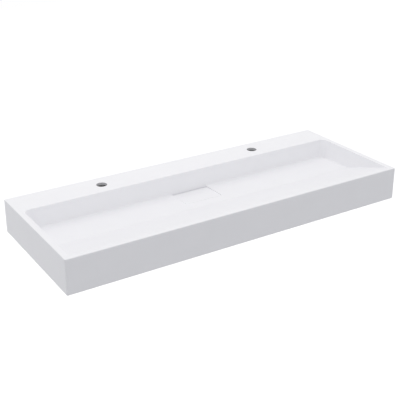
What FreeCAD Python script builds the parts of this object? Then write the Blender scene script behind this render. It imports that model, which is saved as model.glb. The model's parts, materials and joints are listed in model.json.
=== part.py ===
import FreeCAD, Part
import math
import os

# Wall-hung washbasin for two taps. It is one casting of filled resin, hollow underneath, with a
# long sloped bowl that drains to a slot behind a lift-off cover, and a free-flow waste below it.
# Millimetres and degrees. The origin is on the wall face, midway between the two wall bolts.
# X runs along the wall, Y points into the wall and Z points up, so the front is at negative Y.

# Outside of the basin
basin_length = 1200.0
basin_depth = 460.0
basin_height = 110.0
upright_corner_radius = 4.0
rim_radius = 2.5
lower_edge_chamfer = 1.5

# Bowl: a trough along the wall, and a long ramp that rises from it to the front
side_rim_width = 20.0
deck_depth = 112.0
lip_width = 9.0
trough_end_depth = 67.0
trough_middle_depth = 70.0
fold_setback = 204.0
fold_depth = 64.0
side_draft = 6.0
rear_draft = 1.5
bowl_corner_radius = 20.0
foot_radius = 5.0
fold_radius = 14.0
bowl_edge_radius = 2.0

# Walls of the casting, which is open from below
bowl_wall = 12.0
deck_wall = 10.0
side_wall = 14.0
front_wall = 14.0
rear_wall = 20.0
hollow_corner_radius = 8.0
rib_width = 10.0
rib_spacing = 400.0
rib_inset = 10.0

# Holes for the taps and for the wall bolts
tap_hole_radius = 17.5
tap_hole_spacing = 590.0
tap_hole_setback = 58.0
tap_hole_chamfer = 0.8
bolt_hole_radius = 9.0
bolt_spacing = 900.0
bolt_height = 50.0

# Cover over the waste, and the recess that it lies in
cover_width = 135.0
cover_depth = 89.0
cover_drop = 1.0
cover_corner_radius = 4.0
cover_edge_radius = 0.8
cover_side_gap = 1.0
cover_front_gap = 1.0
drain_slot = 3.0
recess_floor = 14.0
recess_wall = 10.0
recess_foot_radius = 3.0
foot_pad_radius = 6.0
foot_pad_height = 6.5
foot_pad_inset = 12.0

# Waste with a G 1 1/4 tail, its strainer and the strainer's screw
waste_hole_radius = 23.0
flange_radius = 32.0
flange_thickness = 2.5
flange_chamfer = 0.8
seat_clearance = 1.0
tail_radius = 20.955
thread_mean_radius = 20.215
tail_bore_radius = 18.4
tail_length = 60.0
tail_chamfer = 1.0
throat_radius = 19.0
throat_depth = 6.0
strainer_radius = 22.5
strainer_thickness = 1.2
strainer_clearance = 0.3
strainer_sink = 0.3
strainer_hole_radius = 3.2
strainer_hole_circle = 12.8
strainer_hole_count = 9
hub_radius = 5.0
hub_height = 9.0
arm_count = 3
arm_thickness = 3.0
arm_height = 6.0
screw_radius = 2.5
screw_length = 9.0
screw_head_radius = 4.5
screw_head_height = 2.0
screw_slot_width = 1.2
screw_slot_depth = 1.0

# Seals, slip washer and back nut that clamp the waste to the basin
seal_clearance = 0.4
flange_seal_thickness = 1.5
lower_seal_thickness = 4.0
lower_seal_radius = 33.0
lower_seal_spigot = 3.0
spigot_root_radius = 22.7
spigot_tip_radius = 22.1
slip_washer_thickness = 1.5
slip_washer_radius = 32.0
nut_sides = 6
nut_flats = 55.0
nut_height = 9.0
nut_chamfer = 1.5
thread_clearance = 0.05

# How far cutting shapes run past the faces that they cut. A point this near a plane counts as on
# it, and an edge counts as sharp where its faces turn by more than this angle.
overrun = 5.0
tolerance = 0.001
sharp_angle = 3.0

# Heights and places that follow from the sizes above
top = basin_height - bolt_height
bottom = -bolt_height
rear_slope = math.tan(math.radians(rear_draft))
side_slope = math.tan(math.radians(side_draft))
bowl_rear = -deck_depth - trough_middle_depth * rear_slope
bowl_end = basin_length / 2 - side_rim_width - trough_end_depth * side_slope
fold_y = -basin_depth + fold_setback
recess_level = bottom + recess_floor
recess_half_width = cover_width / 2 + cover_side_gap
recess_corner_radius = cover_corner_radius + cover_side_gap
cover_rear = bowl_rear - drain_slot
cover_front = cover_rear - cover_depth
recess_front = cover_front - cover_front_gap
waste_y = (cover_rear + cover_front) / 2
seat_level = recess_level - flange_thickness - flange_seal_thickness
strainer_level = recess_level - strainer_sink - strainer_thickness
washer_level = bottom - lower_seal_thickness - slip_washer_thickness
nut_level = washer_level - nut_height
tail_end = seat_level - tail_length


def vector(x, y, z):
    return FreeCAD.Vector(x, y, z)


def block(x_range, y_range, z_range):
    """A box between two values along each axis."""
    corner = vector(x_range[0], y_range[0], z_range[0])
    length, width, height = [high - low for low, high in (x_range, y_range, z_range)]
    return Part.makeBox(length, width, height, corner)


def upright(radius, x, y, low, high):
    """An upright cylinder between two heights."""
    return Part.makeCylinder(radius, high - low, vector(x, y, low))


def turned(outline):
    """A piece turned about the waste's axis, from its radii and heights."""
    points = [vector(radius, 0, height) for radius, height in outline]
    face = Part.Face(Part.makePolygon(points + points[:1]))
    piece = face.revolve(vector(0, 0, 0), vector(0, 0, 1), 360)
    return piece.translated(vector(0, waste_y, 0))


def ring(inner, outer, low, high):
    """A flat ring about the waste's axis."""
    return turned([(inner, low), (outer, low), (outer, high), (inner, high)])


def mirrored(shape):
    """The shape's mirror image across the middle of the basin."""
    return shape.mirror(vector(0, 0, 0), vector(1, 0, 0))


def plane(point, normal):
    """A plane through a point. Its unit normal points out of the space that it bounds."""
    normal.normalize()
    return point, normal


def plane_below(first, second, third):
    """The plane through three points, as the floor of a space."""
    normal = (second - first).cross(third - first)
    if normal.z > 0:
        normal = normal.negative()
    return plane(first, normal)


def moved_out(boundary, distance):
    """The same plane, moved along its normal."""
    point, normal = boundary
    return point + normal * distance, normal


def space_within(boundaries):
    """The space that a set of planes closes off."""
    reach = 2 * basin_length
    space = block((-reach, reach), (-reach, reach), (-reach, reach))
    for point, normal in boundaries:
        beyond = block((-2 * reach, 2 * reach), (-2 * reach, 2 * reach), (0, 4 * reach))
        beyond.Placement = FreeCAD.Placement(point, FreeCAD.Rotation(vector(0, 0, 1), normal))
        space = space.cut(beyond)
    return space


def lies_on(edge, boundary):
    """Whether the whole edge lies in a plane."""
    point, normal = boundary
    return all(abs((station - point).dot(normal)) < tolerance for station in edge.discretize(3))


def is_sharp(shape, edge):
    """Whether the two faces beside an edge meet at an angle."""
    middle = edge.valueAt((edge.FirstParameter + edge.LastParameter) / 2)
    normals = []
    for face in shape.ancestorsOfType(edge, Part.Face):
        u, v = face.Surface.parameter(middle)
        normals.append(face.normalAt(u, v))
    return len(normals) == 2 and normals[0].getAngle(normals[1]) > math.radians(sharp_angle)


def edges_between(shape, first, second):
    """The edges where two planes meet."""
    return [edge for edge in shape.Edges if lies_on(edge, first) and lies_on(edge, second)]


def edges_at(shape, height):
    """The sharp edges at one height."""
    level = (vector(0, 0, height), vector(0, 0, 1))
    return [edge for edge in shape.Edges if lies_on(edge, level) and is_sharp(shape, edge)]


def upright_edges(shape):
    """The edges that run straight up."""
    return [
        edge for edge in shape.Edges
        if abs(edge.Vertexes[0].X - edge.Vertexes[-1].X) < tolerance
        and abs(edge.Vertexes[0].Y - edge.Vertexes[-1].Y) < tolerance
    ]


def trough_plane():
    """The trough's floor right of the cover. It falls to the wall, and a little to the middle."""
    foot_at_end = vector(bowl_end, bowl_rear, top - trough_end_depth)
    foot_at_recess = vector(recess_half_width, bowl_rear, top - trough_middle_depth)
    fold_at_end = vector(bowl_end, fold_y, top - fold_depth)
    return plane_below(foot_at_recess, foot_at_end, fold_at_end)


def trough_height(x, y):
    """Height of the trough's floor at a place right of the middle."""
    point, normal = trough_plane()
    return point.z - (normal.x * (x - point.x) + normal.y * (y - point.y)) / normal.z


def ramp_plane():
    """The ramp, which runs from the lip at the front down to the fold."""
    lip = vector(0, -basin_depth + lip_width, top)
    fold = vector(0, fold_y, top - fold_depth)
    return plane_below(lip, lip + vector(basin_length, 0, 0), fold)


def bowl_rear_plane():
    """The bowl's rear wall, which leans back a little as it rises."""
    return plane(vector(0, -deck_depth, top), vector(0, 1, -rear_slope))


def half_bowl(growth=0):
    """The bowl right of the middle, its rear corner and fold rounded and its foot sharp.

    Growth moves every side out, for the bowl's outer skin.
    """
    rear = moved_out(bowl_rear_plane(), growth)
    inner_rim = vector(basin_length / 2 - side_rim_width, 0, top)
    end = moved_out(plane(inner_rim, vector(1, 0, -side_slope)), growth)
    trough = moved_out(trough_plane(), growth)
    ramp = moved_out(ramp_plane(), growth)
    middle = plane(vector(0, 0, 0), vector(-1, 0, 0))
    mouth = plane(vector(0, 0, top + overrun), vector(0, 0, 1))
    half = space_within([rear, end, trough, ramp, middle, mouth])
    half = half.makeFillet(bowl_corner_radius + growth, edges_between(half, rear, end))
    return half.makeFillet(fold_radius + growth, edges_between(half, trough, ramp))


def bowl_space():
    """The whole bowl, rounded along its foot."""
    half = half_bowl()
    feet = [
        edge for edge in half.Edges
        if is_sharp(half, edge) and edge.BoundBox.XMax > tolerance and edge.BoundBox.ZMin < top
    ]
    half = half.makeFillet(foot_radius, feet)
    return half.fuse(mirrored(half)).removeSplitter()


def bowl_skin():
    """The bowl with the thickness of its wall added, as it shows underneath."""
    half = half_bowl(bowl_wall)
    return half.fuse(mirrored(half)).removeSplitter()


def recess_space(growth=0, floor=recess_level):
    """The space that the cover lies in, over the waste and along the bowl's rear wall."""
    rear = moved_out(bowl_rear_plane(), growth)
    front = plane(vector(0, recess_front - growth, 0), vector(0, -1, 0))
    left = plane(vector(-recess_half_width - growth, 0, 0), vector(-1, 0, 0))
    right = plane(vector(recess_half_width + growth, 0, 0), vector(1, 0, 0))
    level = plane(vector(0, 0, floor), vector(0, 0, -1))
    mouth = plane(vector(0, 0, top - fold_depth), vector(0, 0, 1))
    space = space_within([rear, front, left, right, level, mouth])
    corners = []
    for side in (left, right):
        corners += edges_between(space, rear, side) + edges_between(space, front, side)
    return space.makeFillet(recess_corner_radius + growth, corners)


def rib(x):
    """A stiffening rib under the bowl, from the front wall to the rear wall."""
    sides = (x - rib_width / 2, x + rib_width / 2)
    return block(sides, (-basin_depth, 0), (bottom + rib_inset, top))


def underside_space():
    """The hollow under the bowl and under the deck, between the outer walls."""
    side = basin_length / 2 - side_wall
    lengthwise = (-basin_depth + front_wall, -rear_wall)
    hollow = block((-side, side), lengthwise, (bottom - overrun, top - deck_wall))
    hollow = hollow.makeFillet(hollow_corner_radius, upright_edges(hollow))
    hollow = hollow.cut(bowl_skin())
    hollow = hollow.cut(recess_space(recess_wall, bottom - overrun))
    for x in (-rib_spacing / 2, rib_spacing / 2):
        hollow = hollow.cut(rib(x))
    return hollow


def outer_block():
    """The outside of the basin, with rounded corners and rim and a broken lower edge."""
    half = basin_length / 2
    outside = block((-half, half), (-basin_depth, 0), (bottom, top))
    outside = outside.makeFillet(upright_corner_radius, upright_edges(outside))
    outside = outside.makeFillet(rim_radius, edges_at(outside, top))
    return outside.makeChamfer(lower_edge_chamfer, edges_at(outside, bottom))


def tap_hole(x):
    """The space of one tap hole through the deck."""
    return upright(tap_hole_radius, x, -tap_hole_setback, top - deck_wall - overrun, top + overrun)


def bolt_hole(x):
    """The space of one wall bolt's hole through the rear wall."""
    start = vector(x, -rear_wall - overrun, 0)
    return Part.makeCylinder(bolt_hole_radius, rear_wall + 2 * overrun, start, vector(0, 1, 0))


def waste_hole():
    """The waste's hole through the recess floor, with the flange's seat sunk in it."""
    hole = upright(waste_hole_radius, 0, waste_y, bottom - overrun, recess_level + overrun)
    seat = upright(flange_radius + seat_clearance, 0, waste_y, seat_level, recess_level + overrun)
    return hole.fuse(seat)


def basin_body():
    """The casting, with its bowl, deck, rims, drain recess, ribs and holes."""
    body = outer_block().cut(bowl_space())
    body = body.makeFillet(bowl_edge_radius, edges_at(body, top))
    recess = recess_space()
    recess = recess.makeFillet(recess_foot_radius, edges_at(recess, recess_level))
    body = body.cut(recess).cut(underside_space()).cut(waste_hole())
    for side in (-1, 1):
        body = body.cut(tap_hole(side * tap_hole_spacing / 2))
        body = body.cut(bolt_hole(side * bolt_spacing / 2))
    return body.makeChamfer(tap_hole_chamfer, edges_at(body, top))


def waste_cover():
    """A loose cast slab. Its top is flush with the trough in front and drops to the slot behind."""
    underside = recess_level + foot_pad_height
    outline = [
        (cover_rear, underside),
        (cover_front, underside),
        (cover_front, trough_height(recess_half_width, cover_front)),
        (cover_rear, trough_height(recess_half_width, cover_rear) - cover_drop),
    ]
    points = [vector(-cover_width / 2, y, z) for y, z in outline]
    slab = Part.Face(Part.makePolygon(points + points[:1])).extrude(vector(cover_width, 0, 0))
    slab = slab.makeFillet(cover_corner_radius, upright_edges(slab))
    upper = [
        edge for edge in slab.Edges
        if edge.BoundBox.ZMin > underside + tolerance and is_sharp(slab, edge)
    ]
    return slab.makeFillet(cover_edge_radius, upper)


def cover_feet():
    """Four silicone pads under the cover's corners, which stand on the recess floor."""
    x = cover_width / 2 - foot_pad_inset
    rows = (cover_rear - foot_pad_inset, cover_front + foot_pad_inset)
    high = recess_level + foot_pad_height
    return [upright(foot_pad_radius, side * x, y, recess_level, high) for side in (-1, 1) for y in rows]


def waste_body():
    """The turned brass waste, with the spider that carries the strainer's screw.

    Inside the nut the tail is drawn at its thread's mean radius, and elsewhere at the full one.
    """
    flange_under = recess_level - flange_thickness
    pocket_radius = strainer_radius + strainer_clearance
    body = turned([
        (pocket_radius, recess_level),
        (flange_radius - flange_chamfer, recess_level),
        (flange_radius, recess_level - flange_chamfer),
        (flange_radius, flange_under),
        (tail_radius, flange_under),
        (tail_radius, washer_level),
        (thread_mean_radius, washer_level),
        (thread_mean_radius, nut_level),
        (tail_radius, nut_level),
        (tail_radius, tail_end + tail_chamfer),
        (tail_radius - tail_chamfer, tail_end),
        (tail_bore_radius, tail_end),
        (tail_bore_radius, recess_level - throat_depth),
        (throat_radius, strainer_level),
        (pocket_radius, strainer_level),
    ])
    body = body.fuse(upright(hub_radius, 0, waste_y, strainer_level - hub_height, strainer_level))
    reach = (tail_radius + tail_bore_radius) / 2
    for index in range(arm_count):
        arm = block((0, reach), (-arm_thickness / 2, arm_thickness / 2), (-arm_height, 0))
        arm.rotate(vector(0, 0, 0), vector(0, 0, 1), index * 360 / arm_count)
        arm.translate(vector(0, waste_y, strainer_level))
        body = body.fuse(arm)
    bore = screw_radius + thread_clearance
    return body.cut(upright(bore, 0, waste_y, strainer_level - hub_height, strainer_level))


def strainer_grid():
    """A punched disc of sheet steel, let into the waste's flange."""
    high = strainer_level + strainer_thickness
    disc = upright(strainer_radius, 0, waste_y, strainer_level, high)
    holes = [upright(screw_radius + strainer_clearance, 0, waste_y, strainer_level, high)]
    for index in range(strainer_hole_count):
        angle = 2 * math.pi * (index + 1 / 2) / strainer_hole_count
        x = strainer_hole_circle * math.cos(angle)
        y = waste_y + strainer_hole_circle * math.sin(angle)
        holes.append(upright(strainer_hole_radius, x, y, strainer_level, high))
    return disc.cut(holes)


def strainer_screw():
    """A slotted screw that holds the strainer down on the spider's hub."""
    seat = strainer_level + strainer_thickness
    head_top = seat + screw_head_height
    screw = upright(screw_head_radius, 0, waste_y, seat, head_top)
    screw = screw.fuse(upright(screw_radius, 0, waste_y, seat - screw_length, seat))
    slot = block(
        (-screw_head_radius, screw_head_radius),
        (waste_y - screw_slot_width / 2, waste_y + screw_slot_width / 2),
        (head_top - screw_slot_depth, head_top),
    )
    return screw.cut(slot)


def flange_seal():
    """The flat rubber ring between the waste's flange and its seat."""
    return ring(tail_radius + seal_clearance, flange_radius, seat_level, recess_level - flange_thickness)


def lower_seal():
    """The rubber seal under the basin, with a tapered spigot that centres it in the hole."""
    inner = tail_radius + seal_clearance
    return turned([
        (inner, bottom - lower_seal_thickness),
        (lower_seal_radius, bottom - lower_seal_thickness),
        (lower_seal_radius, bottom),
        (spigot_root_radius, bottom),
        (spigot_tip_radius, bottom + lower_seal_spigot),
        (inner, bottom + lower_seal_spigot),
    ])


def slip_washer():
    """The hard washer that lets the back nut turn without dragging the seal."""
    inner = tail_radius + seal_clearance
    return ring(inner, slip_washer_radius, washer_level, bottom - lower_seal_thickness)


def back_nut():
    """The hexagon nut on the tail, with its corners turned off at both ends."""
    corner_radius = nut_flats / 2 / math.cos(math.pi / nut_sides)
    corners = []
    for index in range(nut_sides):
        angle = 2 * math.pi * index / nut_sides
        corners.append(vector(corner_radius * math.cos(angle), corner_radius * math.sin(angle), nut_level))
    hexagon = Part.Face(Part.makePolygon(corners + corners[:1])).extrude(vector(0, 0, nut_height))
    hexagon = hexagon.translated(vector(0, waste_y, 0))
    bore = thread_mean_radius + thread_clearance
    blank = turned([
        (bore, nut_level),
        (corner_radius - nut_chamfer, nut_level),
        (corner_radius, nut_level + nut_chamfer / 2),
        (corner_radius, washer_level - nut_chamfer / 2),
        (corner_radius - nut_chamfer, washer_level),
        (bore, washer_level),
    ])
    return hexagon.common(blank)


def main():
    nodes = {
        "basin_body": basin_body(),
        "waste_cover": waste_cover(),
        "cover_feet": Part.makeCompound(cover_feet()),
        "waste_body": waste_body(),
        "strainer_grid": strainer_grid(),
        "strainer_screw": strainer_screw(),
        "flange_seal": flange_seal(),
        "lower_seal": lower_seal(),
        "slip_washer": slip_washer(),
        "back_nut": back_nut(),
    }
    os.makedirs("parts", exist_ok=True)
    for name, shape in nodes.items():
        shape.exportStep(f"parts/{name}.step")
        print(name, "solids", len(shape.Solids), "valid", shape.isValid(), "volume", round(shape.Volume))


main()
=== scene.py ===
import bpy
import math
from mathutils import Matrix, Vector
from mathutils.bvhtree import BVHTree
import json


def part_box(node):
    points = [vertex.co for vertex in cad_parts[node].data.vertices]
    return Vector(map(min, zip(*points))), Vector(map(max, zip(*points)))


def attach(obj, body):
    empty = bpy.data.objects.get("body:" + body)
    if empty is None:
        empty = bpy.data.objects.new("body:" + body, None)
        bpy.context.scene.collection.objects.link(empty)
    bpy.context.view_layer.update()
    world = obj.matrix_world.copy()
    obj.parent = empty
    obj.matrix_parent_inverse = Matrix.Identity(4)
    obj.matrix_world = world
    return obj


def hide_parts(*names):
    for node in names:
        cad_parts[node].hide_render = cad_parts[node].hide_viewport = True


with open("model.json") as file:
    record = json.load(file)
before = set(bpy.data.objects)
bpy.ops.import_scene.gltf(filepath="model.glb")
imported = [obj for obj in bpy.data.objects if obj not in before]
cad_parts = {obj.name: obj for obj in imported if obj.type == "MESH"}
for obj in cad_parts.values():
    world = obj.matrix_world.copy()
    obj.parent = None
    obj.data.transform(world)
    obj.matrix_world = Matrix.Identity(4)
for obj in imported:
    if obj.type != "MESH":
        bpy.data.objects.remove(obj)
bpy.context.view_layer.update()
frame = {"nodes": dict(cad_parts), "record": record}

MM = 0.001


def linear(colour):
    """The linear values of an sRGB hex colour, with alpha."""
    values = []
    for start in (1, 3, 5):
        share = int(colour[start:start + 2], 16) / 255
        values.append(share / 12.92 if share <= 0.04045 else ((share + 0.055) / 1.055) ** 2.4)
    return (*values, 1)


def add(tree, kind, values=None, links=None, **settings):
    """Adds a node with its settings, the values of its inputs and what is linked to them."""
    node = tree.nodes.new(kind)
    for name, value in settings.items():
        setattr(node, name, value)
    for name, value in (values or {}).items():
        node.inputs[name].default_value = value
    for name, source in (links or {}).items():
        tree.links.new(source, node.inputs[name])
    return node


def empty_tree(owner):
    """Turns on the nodes of a material or a world, and clears them."""
    owner.use_nodes = True
    owner.node_tree.nodes.clear()
    return owner.node_tree


def new_material(name):
    """A material, its tree, and the place of each point on the object, in metres."""
    material = bpy.data.materials.new(name)
    tree = empty_tree(material)
    return material, tree, add(tree, "ShaderNodeTexCoord").outputs["Object"]


# Polyester gel coat, sprayed and wet sanded: an even satin white with a soft, wide sheen.
# Its sanding marks are 0.3 mm apart and are drawn 2 mm apart, so that they show at all.
CLOUD_SIZE = 60 * MM
POLISH_SIZE = 25 * MM
SANDING_SIZE = 2 * MM
SANDING_DEPTH = 0.05 * MM
gel_coat, tree, place = new_material("gel_coat_sanded")
clouds = add(tree, "ShaderNodeTexNoise", {"Scale": 1 / CLOUD_SIZE, "Detail": 2}, {"Vector": place})
shade = add(
    tree, "ShaderNodeMixRGB", {"Color1": linear("#F5F5F7"), "Color2": linear("#F9F9FB")},
    {"Fac": clouds.outputs["Fac"]},
)
rubbed = add(tree, "ShaderNodeTexNoise", {"Scale": 1 / POLISH_SIZE, "Detail": 2}, {"Vector": place})
sheen = add(tree, "ShaderNodeMapRange", {"To Min": 0.32, "To Max": 0.42}, {"Value": rubbed.outputs["Fac"]})
marks = add(tree, "ShaderNodeTexNoise", {"Scale": 1 / SANDING_SIZE, "Detail": 4}, {"Vector": place})
relief = add(
    tree, "ShaderNodeBump", {"Strength": 0.06, "Distance": SANDING_DEPTH}, {"Height": marks.outputs["Fac"]},
)
shader = add(
    tree, "ShaderNodeBsdfPrincipled", {"IOR": 1.54},
    {
        "Base Color": shade.outputs["Color"],
        "Roughness": sheen.outputs["Result"],
        "Normal": relief.outputs["Normal"],
    },
)
add(tree, "ShaderNodeOutputMaterial", links={"Surface": shader.outputs["BSDF"]})

# Filled polyester as poured: chalky and patchy, matt, with ripples of 9 mm and pinholes of 1 mm.
# Its grey is painted darker than the resin, as shade for the hollow under the deck that shows through the
# tap holes.
PATCH_SIZE = 30 * MM
PINHOLE_SPACING = 14 * MM
PINHOLE_RADIUS = 0.42 * MM
PINHOLE_RIM_RADIUS = 0.84 * MM
PINHOLE_PAINTED_SHADE = 0.72
RIPPLE_SIZE = 9 * MM
RIPPLE_DEPTH = 0.4 * MM
poured_resin_and_painted_shade, tree, place = new_material("filled_resin_poured_and_painted_shade")
patches = add(tree, "ShaderNodeTexNoise", {"Scale": 1 / PATCH_SIZE, "Detail": 3}, {"Vector": place})
# Painted shade: both greys are darkened to stand for the dark hollow under the deck, over the resin's
# patchy tone.
shade = add(
    tree, "ShaderNodeMixRGB", {"Color1": linear("#929290"), "Color2": linear("#A2A2A0")},
    {"Fac": patches.outputs["Fac"]},
)
# The pinholes are only dark dots: painted shade inside them, with no pits cut into the surface.
cells = add(tree, "ShaderNodeTexVoronoi", {"Scale": 1 / PINHOLE_SPACING}, {"Vector": place})
painted_pinhole_shade = add(
    tree, "ShaderNodeMapRange",
    {
        "From Min": PINHOLE_RADIUS / PINHOLE_SPACING,
        "From Max": PINHOLE_RIM_RADIUS / PINHOLE_SPACING,
        "To Min": PINHOLE_PAINTED_SHADE,
        "To Max": 1.0,
    },
    {"Value": cells.outputs["Distance"]},
)
resin_and_pinhole_shade = add(
    tree, "ShaderNodeMixRGB", {"Fac": 1.0},
    {"Color1": shade.outputs["Color"], "Color2": painted_pinhole_shade.outputs["Result"]}, blend_type="MULTIPLY",
)
ripples = add(tree, "ShaderNodeTexNoise", {"Scale": 1 / RIPPLE_SIZE, "Detail": 4}, {"Vector": place})
relief = add(
    tree, "ShaderNodeBump", {"Strength": 0.35, "Distance": RIPPLE_DEPTH},
    {"Height": ripples.outputs["Fac"]},
)
shader = add(
    tree, "ShaderNodeBsdfPrincipled", {"IOR": 1.54, "Roughness": 0.62},
    {"Base Color": resin_and_pinhole_shade.outputs["Color"], "Normal": relief.outputs["Normal"]},
)
add(tree, "ShaderNodeOutputMaterial", links={"Surface": shader.outputs["BSDF"]})

UP = Vector((0, 0, 1))
RAY_CLEARANCE = 0.5 * MM


def cast_piece(name, node, body):
    """A casting with the node's own shape, coated except where the casting itself lies over it."""
    piece = bpy.data.objects.new(name, frame["nodes"][node].data.copy())
    bpy.context.scene.collection.objects.link(piece)
    corners = [corner.co for corner in piece.data.vertices]
    shape = BVHTree.FromPolygons(corners, [face.vertices for face in piece.data.polygons])
    piece.data.materials.clear()
    piece.data.materials.append(gel_coat)
    piece.data.materials.append(poured_resin_and_painted_shade)
    # Faces with the casting over them take the poured resin, whose darker grey is partly painted shade.
    for face in piece.data.polygons:
        covered = shape.ray_cast(face.center + face.normal * RAY_CLEARANCE, UP)[0] is not None
        face.material_index = int(covered)
    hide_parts(node)
    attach(piece, body)
    return piece


basin = cast_piece("basin_casting", "basin_body", "basin")

# The two tap holes are cut through the deck of the finished casting with a core drill.
# Filled polyester where it was drilled: paler than the poured face, and matt, with fine rings.
# The rings are 0.2 mm apart and are drawn 2 mm apart, so that they show from nearby.
DRILL_RING_SPACING = 2 * MM
DRILL_RING_DEPTH = 0.1 * MM
FILLER_GRAIN = 1.2 * MM
WAVE_PERIOD = math.pi / 10  # of the wave texture at a scale of 1
HOLE_MARGIN = 0.1 * MM
drilled_resin, tree, place = new_material("filled_resin_drilled")
grains = add(tree, "ShaderNodeTexNoise", {"Scale": 1 / FILLER_GRAIN, "Detail": 2}, {"Vector": place})
shade = add(
    tree, "ShaderNodeMixRGB", {"Color1": linear("#CECED0"), "Color2": linear("#DADADC")},
    {"Fac": grains.outputs["Fac"]},
)
rings = add(
    tree, "ShaderNodeTexWave", {"Scale": WAVE_PERIOD / DRILL_RING_SPACING, "Distortion": 0.4, "Detail": 1},
    {"Vector": place}, bands_direction="Z",
)
relief = add(
    tree, "ShaderNodeBump", {"Strength": 0.2, "Distance": DRILL_RING_DEPTH},
    {"Height": rings.outputs["Fac"]},
)
shader = add(
    tree, "ShaderNodeBsdfPrincipled", {"IOR": 1.54, "Roughness": 0.7},
    {"Base Color": shade.outputs["Color"], "Normal": relief.outputs["Normal"]},
)
add(tree, "ShaderNodeOutputMaterial", links={"Surface": shader.outputs["BSDF"]})
basin.data.materials.append(drilled_resin)
drilled_slot = basin.data.materials.find(drilled_resin.name)
tap_holes = [mount for mount in frame["record"]["mounts"] if mount["kind"] == "bore"]
for hole in tap_holes:
    middle = Vector(hole["pos_m"][:2])
    reach = hole["dims"]["r_mm"] * MM + HOLE_MARGIN
    for face in basin.data.polygons:
        if (face.center.xy - middle).length < reach:
            face.material_index = drilled_slot

# The cover over the waste is a loose slab of the same coated resin, cast by itself and sanded to match.
# It stands on four silicone pads that are glued under its corners, and lifts out by its rear edge.
cast_piece("cover_slab", "waste_cover", "cover")

# Silicone, pressed into discs: milky and soft, with a dull sheen.
HAZE_SIZE = 3 * MM
HAZE_DEPTH = 0.05 * MM
SILICONE_SCATTER = 2 * MM
silicone, tree, place = new_material("silicone_pressed")
haze = add(tree, "ShaderNodeTexNoise", {"Scale": 1 / HAZE_SIZE, "Detail": 2}, {"Vector": place})
shade = add(
    tree, "ShaderNodeMixRGB", {"Color1": linear("#C9CDCF"), "Color2": linear("#DADDDE")},
    {"Fac": haze.outputs["Fac"]},
)
relief = add(
    tree, "ShaderNodeBump", {"Strength": 0.1, "Distance": HAZE_DEPTH}, {"Height": haze.outputs["Fac"]},
)
shader = add(
    tree, "ShaderNodeBsdfPrincipled",
    {"IOR": 1.43, "Roughness": 0.5, "Subsurface Weight": 0.2, "Subsurface Scale": SILICONE_SCATTER},
    {"Base Color": shade.outputs["Color"], "Normal": relief.outputs["Normal"]},
)
add(tree, "ShaderNodeOutputMaterial", links={"Surface": shader.outputs["BSDF"]})


def dress(node, material):
    """Gives a node of the frame its material and leaves its shape as it is."""
    mesh = frame["nodes"][node].data
    mesh.materials.clear()
    mesh.materials.append(material)


dress("cover_feet", silicone)

# The waste is turned from brass and plated with chrome. Its flange lies sunk in the recess floor, with a
# spider of three arms inside, and its tail has a G 1 1/4 pipe thread for the back nut and the trap.
import bmesh
from mathutils import Matrix

THREAD_PITCH = 2.309 * MM
THREAD_DEPTH = 1.479 * MM
THREAD_ROWS_PER_PITCH = 8
TAIL_RADIUS = 20.955 * MM
TAIL_BORE_RADIUS = 18.4 * MM
THROAT_RADIUS = 19 * MM
THROAT_DEPTH = 6 * MM
PLAIN_LENGTH = 4 * MM
TURNED_EDGE = 0.8 * MM
TURNED_SIDES = 72
STRAINER_CLEARANCE = 0.3 * MM
SCREW_RADIUS = 2.5 * MM
HUB_RADIUS = 5 * MM
HUB_HEIGHT = 9 * MM
HUB_SIDES = 32
ARM_COUNT = 3
ARM_THICKNESS = 3 * MM
ARM_HEIGHT = 6 * MM
ARM_EDGE = 0.5 * MM
ARM_EDGE_STEPS = 2
SHARP_TURN = 40  # degrees

waste_low, waste_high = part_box("waste_body")
strainer_low, strainer_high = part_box("strainer_grid")
seal_low, seal_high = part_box("flange_seal")
waste_axis = (waste_low + waste_high) / 2
flange_radius = (waste_high.x - waste_low.x) / 2
pocket_radius = (strainer_high.x - strainer_low.x) / 2 + STRAINER_CLEARANCE


def add_turned(mesh, outline, sides, thread=None):
    """Adds a closed ring, turned about the waste's axis from a loop of radii and heights.

    Thread gives the thread's depth at a radius and a height, as a share of the full depth.
    """
    rows = []
    for radius, height in outline:
        row = []
        for step in range(sides):
            turn = step / sides
            wave = (1 - math.cos(2 * math.pi * (height / THREAD_PITCH - turn))) / 2
            reach = radius - (THREAD_DEPTH * wave * thread(radius, height) if thread else 0)
            angle = 2 * math.pi * turn
            place = (waste_axis.x + reach * math.cos(angle), waste_axis.y + reach * math.sin(angle), height)
            row.append(mesh.verts.new(place))
        rows.append(row)
    for here, there in zip(rows, rows[1:] + rows[:1]):
        for step in range(sides):
            after = (step + 1) % sides
            mesh.faces.new((here[step], here[after], there[after], there[step]))


def thread_share(radius, height):
    """The whole depth along the tail, which runs in over one pitch below its plain length."""
    if radius < TAIL_RADIUS:
        return 0
    return min(max((seal_low.z - PLAIN_LENGTH - height) / THREAD_PITCH, 0), 1)


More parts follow.
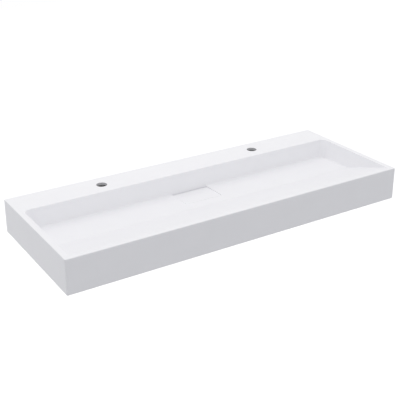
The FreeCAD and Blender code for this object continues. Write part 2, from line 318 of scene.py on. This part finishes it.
thread_end = waste_low.z + TURNED_EDGE
tail_rows = math.ceil((seal_high.z - thread_end) / THREAD_PITCH * THREAD_ROWS_PER_PITCH)
outline = [
    (pocket_radius, waste_high.z),
    (flange_radius - TURNED_EDGE, waste_high.z),
    (flange_radius, waste_high.z - TURNED_EDGE),
    (flange_radius, seal_high.z),
]
for row in range(tail_rows + 1):
    outline.append((TAIL_RADIUS, seal_high.z + (thread_end - seal_high.z) * row / tail_rows))
outline += [
    (TAIL_RADIUS - THREAD_DEPTH, waste_low.z),
    (TAIL_BORE_RADIUS, waste_low.z),
    (TAIL_BORE_RADIUS, waste_high.z - THROAT_DEPTH),
    (THROAT_RADIUS, strainer_low.z),
    (pocket_radius, strainer_low.z),
]
turned = bmesh.new()
add_turned(turned, outline, TURNED_SIDES, thread_share)
hub_outline = [
    (SCREW_RADIUS, strainer_low.z),
    (HUB_RADIUS, strainer_low.z),
    (HUB_RADIUS, strainer_low.z - HUB_HEIGHT + TURNED_EDGE),
    (HUB_RADIUS - TURNED_EDGE, strainer_low.z - HUB_HEIGHT),
    (SCREW_RADIUS, strainer_low.z - HUB_HEIGHT),
]
add_turned(turned, hub_outline, HUB_SIDES)
arm_start = (SCREW_RADIUS + HUB_RADIUS) / 2
arm_end = (TAIL_BORE_RADIUS + TAIL_RADIUS - THREAD_DEPTH) / 2
for index in range(ARM_COUNT):
    turn = Matrix.Rotation(2 * math.pi * index / ARM_COUNT, 4, "Z")
    middle = Matrix.Translation(((arm_start + arm_end) / 2, 0, 0))
    size = Matrix.Diagonal((arm_end - arm_start, ARM_THICKNESS, ARM_HEIGHT, 1))
    hub_middle = Matrix.Translation((waste_axis.x, waste_axis.y, strainer_low.z - ARM_HEIGHT / 2))
    arm = bmesh.ops.create_cube(turned, size=1, matrix=hub_middle @ turn @ middle @ size)
    edges = {edge for corner in arm["verts"] for edge in corner.link_edges}
    bmesh.ops.bevel(turned, geom=list(edges), offset=ARM_EDGE, segments=ARM_EDGE_STEPS, affect="EDGES")
bmesh.ops.recalc_face_normals(turned, faces=turned.faces)
for face in turned.faces:
    face.smooth = True
waste_mesh = bpy.data.meshes.new("waste_turned")
turned.to_mesh(waste_mesh)
turned.free()
waste_mesh.set_sharp_from_angle(angle=math.radians(SHARP_TURN))

# Chrome over brass, polished before it was plated: a cool mirror, a little dull in patches.
DULL_PATCH_SIZE = 12 * MM
chrome, tree, place = new_material("brass_chrome_plated")
patches = add(tree, "ShaderNodeTexNoise", {"Scale": 1 / DULL_PATCH_SIZE, "Detail": 3}, {"Vector": place})
shade = add(
    tree, "ShaderNodeMixRGB", {"Color1": linear("#C3C7CA"), "Color2": linear("#CDD0D2")},
    {"Fac": patches.outputs["Fac"]},
)
polish = add(
    tree, "ShaderNodeMapRange", {"To Min": 0.07, "To Max": 0.16}, {"Value": patches.outputs["Fac"]},
)
shader = add(
    tree, "ShaderNodeBsdfPrincipled", {"Metallic": 1.0},
    {"Base Color": shade.outputs["Color"], "Roughness": polish.outputs["Result"]},
)
add(tree, "ShaderNodeOutputMaterial", links={"Surface": shader.outputs["BSDF"]})
waste_mesh.materials.append(chrome)
waste = bpy.data.objects.new("waste_turned", waste_mesh)
bpy.context.scene.collection.objects.link(waste)
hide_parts("waste_body")
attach(waste, "basin")

# The strainer is a disc punched from stainless steel sheet, held down on the spider by one slotted screw.
# The sheet is brushed one way: long grey streaks that spread a highlight across them.
# The brush marks are 0.1 mm apart and are drawn 0.5 mm apart, so that they show at all.
STREAK_LENGTH = 25 * MM
STREAK_SPACING = 0.5 * MM
STREAK_DEPTH = 0.03 * MM
steel, tree, place = new_material("stainless_steel_brushed")
drawn_out = add(
    tree, "ShaderNodeMapping", {"Scale": (1 / STREAK_LENGTH, 1 / STREAK_SPACING, 1 / STREAK_LENGTH)},
    {"Vector": place},
)
streaks = add(
    tree, "ShaderNodeTexNoise", {"Scale": 1, "Detail": 3}, {"Vector": drawn_out.outputs["Vector"]},
)
shade = add(
    tree, "ShaderNodeMixRGB", {"Color1": linear("#A9A8A4"), "Color2": linear("#C2C0BB")},
    {"Fac": streaks.outputs["Fac"]},
)
spread = add(
    tree, "ShaderNodeMapRange", {"To Min": 0.26, "To Max": 0.42}, {"Value": streaks.outputs["Fac"]},
)
relief = add(
    tree, "ShaderNodeBump", {"Strength": 0.25, "Distance": STREAK_DEPTH},
    {"Height": streaks.outputs["Fac"]},
)
shader = add(
    tree, "ShaderNodeBsdfPrincipled", {"Metallic": 1.0},
    {
        "Base Color": shade.outputs["Color"],
        "Roughness": spread.outputs["Result"],
        "Normal": relief.outputs["Normal"],
    },
)
add(tree, "ShaderNodeOutputMaterial", links={"Surface": shader.outputs["BSDF"]})
dress("strainer_grid", steel)
dress("strainer_screw", steel)

# Two seals of black EPDM rubber close the joint, one under the flange and one under the basin.
# Moulded rubber is nearly black and matt, with a faint grey bloom in patches.
BLOOM_SIZE = 8 * MM
RUBBER_GRAIN = 0.8 * MM
RUBBER_GRAIN_DEPTH = 0.05 * MM
rubber, tree, place = new_material("epdm_rubber_moulded")
bloom = add(tree, "ShaderNodeTexNoise", {"Scale": 1 / BLOOM_SIZE, "Detail": 4}, {"Vector": place})
shade = add(
    tree, "ShaderNodeMixRGB", {"Color1": linear("#161617"), "Color2": linear("#252526")},
    {"Fac": bloom.outputs["Fac"]},
)
mattness = add(tree, "ShaderNodeMapRange", {"To Min": 0.55, "To Max": 0.8}, {"Value": bloom.outputs["Fac"]})
grain = add(tree, "ShaderNodeTexNoise", {"Scale": 1 / RUBBER_GRAIN, "Detail": 2}, {"Vector": place})
relief = add(
    tree, "ShaderNodeBump", {"Strength": 0.2, "Distance": RUBBER_GRAIN_DEPTH},
    {"Height": grain.outputs["Fac"]},
)
shader = add(
    tree, "ShaderNodeBsdfPrincipled", {"IOR": 1.5},
    {
        "Base Color": shade.outputs["Color"],
        "Roughness": mattness.outputs["Result"],
        "Normal": relief.outputs["Normal"],
    },
)
add(tree, "ShaderNodeOutputMaterial", links={"Surface": shader.outputs["BSDF"]})
dress("flange_seal", rubber)
dress("lower_seal", rubber)

# The slip washer is punched from natural nylon sheet, so that the nut turns on it and not on the seal.
# The sheet is creamy and a little waxy, with cloudy patches.
WAX_SIZE = 10 * MM
NYLON_SCATTER = 1 * MM
nylon, tree, place = new_material("nylon_sheet")
wax = add(tree, "ShaderNodeTexNoise", {"Scale": 1 / WAX_SIZE, "Detail": 2}, {"Vector": place})
shade = add(
    tree, "ShaderNodeMixRGB", {"Color1": linear("#DFDACB"), "Color2": linear("#E9E5DA")},
    {"Fac": wax.outputs["Fac"]},
)
gloss = add(tree, "ShaderNodeMapRange", {"To Min": 0.38, "To Max": 0.5}, {"Value": wax.outputs["Fac"]})
shader = add(
    tree, "ShaderNodeBsdfPrincipled",
    {"IOR": 1.53, "Subsurface Weight": 0.15, "Subsurface Scale": NYLON_SCATTER},
    {"Base Color": shade.outputs["Color"], "Roughness": gloss.outputs["Result"]},
)
add(tree, "ShaderNodeOutputMaterial", links={"Surface": shader.outputs["BSDF"]})
dress("slip_washer", nylon)

# The back nut is bare hexagon brass with its ends turned flat: a warm yellow with fine rings on the ends.
# The rings are 0.2 mm apart and are drawn 0.8 mm apart, so that they show at all.
RING_SPACING = 0.8 * MM
RING_DEPTH = 0.03 * MM
TARNISH_SIZE = 15 * MM
brass, tree, place = new_material("brass_turned")
centred = add(
    tree, "ShaderNodeMapping", {"Location": (-waste_axis.x, -waste_axis.y, 0)}, {"Vector": place},
)
rings = add(
    tree, "ShaderNodeTexWave", {"Scale": WAVE_PERIOD / RING_SPACING, "Distortion": 0.6, "Detail": 1},
    {"Vector": centred.outputs["Vector"]}, wave_type="RINGS", rings_direction="Z",
)
tarnish = add(tree, "ShaderNodeTexNoise", {"Scale": 1 / TARNISH_SIZE, "Detail": 4}, {"Vector": place})
shade = add(
    tree, "ShaderNodeMixRGB", {"Color1": linear("#B08D48"), "Color2": linear("#D3B069")},
    {"Fac": tarnish.outputs["Fac"]},
)
sheen = add(tree, "ShaderNodeMapRange", {"To Min": 0.24, "To Max": 0.42}, {"Value": tarnish.outputs["Fac"]})
relief = add(
    tree, "ShaderNodeBump", {"Strength": 0.2, "Distance": RING_DEPTH}, {"Height": rings.outputs["Fac"]},
)
shader = add(
    tree, "ShaderNodeBsdfPrincipled", {"Metallic": 1.0},
    {
        "Base Color": shade.outputs["Color"],
        "Roughness": sheen.outputs["Result"],
        "Normal": relief.outputs["Normal"],
    },
)
add(tree, "ShaderNodeOutputMaterial", links={"Surface": shader.outputs["BSDF"]})
dress("back_nut", brass)

# The floor is a pale studio sweep, as far below the basin as a bathroom floor is, with no wall behind.
# Cameras and mirrors see it as white, because a glow is added to half the light that falls on it. The
# basin's shadow falls on it too, and is too faint from this height to show against the glow.
MOUNTING_HEIGHT = 0.85
FLOOR_SIZE = 14.0
FLOOR_GLOW = 0.74
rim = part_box("basin_body")[1].z
bpy.ops.mesh.primitive_plane_add(size=FLOOR_SIZE, location=(0, 0, rim - MOUNTING_HEIGHT))
floor = bpy.context.object
floor.name = "floor"


def seen_directly(tree):
    """Whether a ray comes straight from the camera, or by way of a mirror or glass."""
    path = add(tree, "ShaderNodeLightPath")
    seen = add(
        tree, "ShaderNodeMath", links={0: path.outputs["Is Camera Ray"], 1: path.outputs["Is Glossy Ray"]},
        operation="MAXIMUM",
    )
    return add(
        tree, "ShaderNodeMath", links={0: seen.outputs["Value"], 1: path.outputs["Is Transmission Ray"]},
        operation="MAXIMUM",
    ).outputs["Value"]


paint = bpy.data.materials.new("floor_paint")
tree = empty_tree(paint)
plain = add(tree, "ShaderNodeBsdfDiffuse", {"Color": linear("#BFBFC1")})
glow = add(tree, "ShaderNodeEmission", {"Color": linear("#FFFFFF"), "Strength": FLOOR_GLOW})
half = add(tree, "ShaderNodeBsdfDiffuse", {"Color": linear("#BCBCBC")})
bright = add(tree, "ShaderNodeAddShader", links={0: half.outputs["BSDF"], 1: glow.outputs["Emission"]})
mixed = add(
    tree, "ShaderNodeMixShader",
    links={0: seen_directly(tree), 1: plain.outputs["BSDF"], 2: bright.outputs["Shader"]},
)
add(tree, "ShaderNodeOutputMaterial", links={"Surface": mixed.outputs["Shader"]})
floor.data.materials.append(paint)

# The light is a wide soft box above the basin, and a pale sky that fills from all sides. The coated walls
# are so pale that light gets down the drain slot in many bounces between them.
SOFT_BOX_SIZE = 3.2
SOFT_BOX_PLACE = (-0.1, 0.1, 2.2)
SOFT_BOX_WATTS = 19.4
SKY_STRENGTH = 0.745
BOUNCES = 12
sky = bpy.data.worlds.new("studio")
bpy.context.scene.world = sky
tree = empty_tree(sky)
fill = add(tree, "ShaderNodeBackground", {"Color": linear("#F7F8FB"), "Strength": SKY_STRENGTH})
white = add(tree, "ShaderNodeBackground", {"Color": linear("#FFFFFF"), "Strength": 1.0})
mixed = add(
    tree, "ShaderNodeMixShader",
    links={0: seen_directly(tree), 1: fill.outputs["Background"], 2: white.outputs["Background"]},
)
add(tree, "ShaderNodeOutputWorld", links={"Surface": mixed.outputs["Shader"]})

soft_box = bpy.data.lights.new("soft_box", "AREA")
soft_box.shape = "RECTANGLE"
soft_box.size = SOFT_BOX_SIZE
soft_box.size_y = SOFT_BOX_SIZE
soft_box.energy = SOFT_BOX_WATTS
soft_box.color = linear("#FFFBF8")[:3]
lamp = bpy.data.objects.new("soft_box", soft_box)
lamp.location = SOFT_BOX_PLACE
bpy.context.scene.collection.objects.link(lamp)
bpy.context.scene.cycles.diffuse_bounces = BOUNCES

# The camera stands where the photograph was taken, to the left of the basin and above it.
# It is turned to the right by its yaw and tilted down by its pitch, and its lens shifts the picture a
# little, so that the basin's upright edges lean less.
EYE = (-1.3293, -2.2759, 1.1062)
YAW = 32.388  # degrees
PITCH = 21.621  # degrees
SENSOR_WIDTH = 36  # mm
FOCAL_LENGTH = 74.26  # mm
SHIFT = -0.1  # of the picture's width
camera_data = bpy.data.cameras.new("camera")
camera_data.sensor_width = SENSOR_WIDTH
camera_data.lens = FOCAL_LENGTH
camera_data.shift_y = SHIFT
camera = bpy.data.objects.new("camera", camera_data)
camera.location = EYE
camera.rotation_euler = (math.radians(90 - PITCH), 0, math.radians(-YAW))
bpy.context.scene.collection.objects.link(camera)
bpy.context.scene.camera = camera
bpy.context.scene.view_settings.view_transform = "Standard"

import json
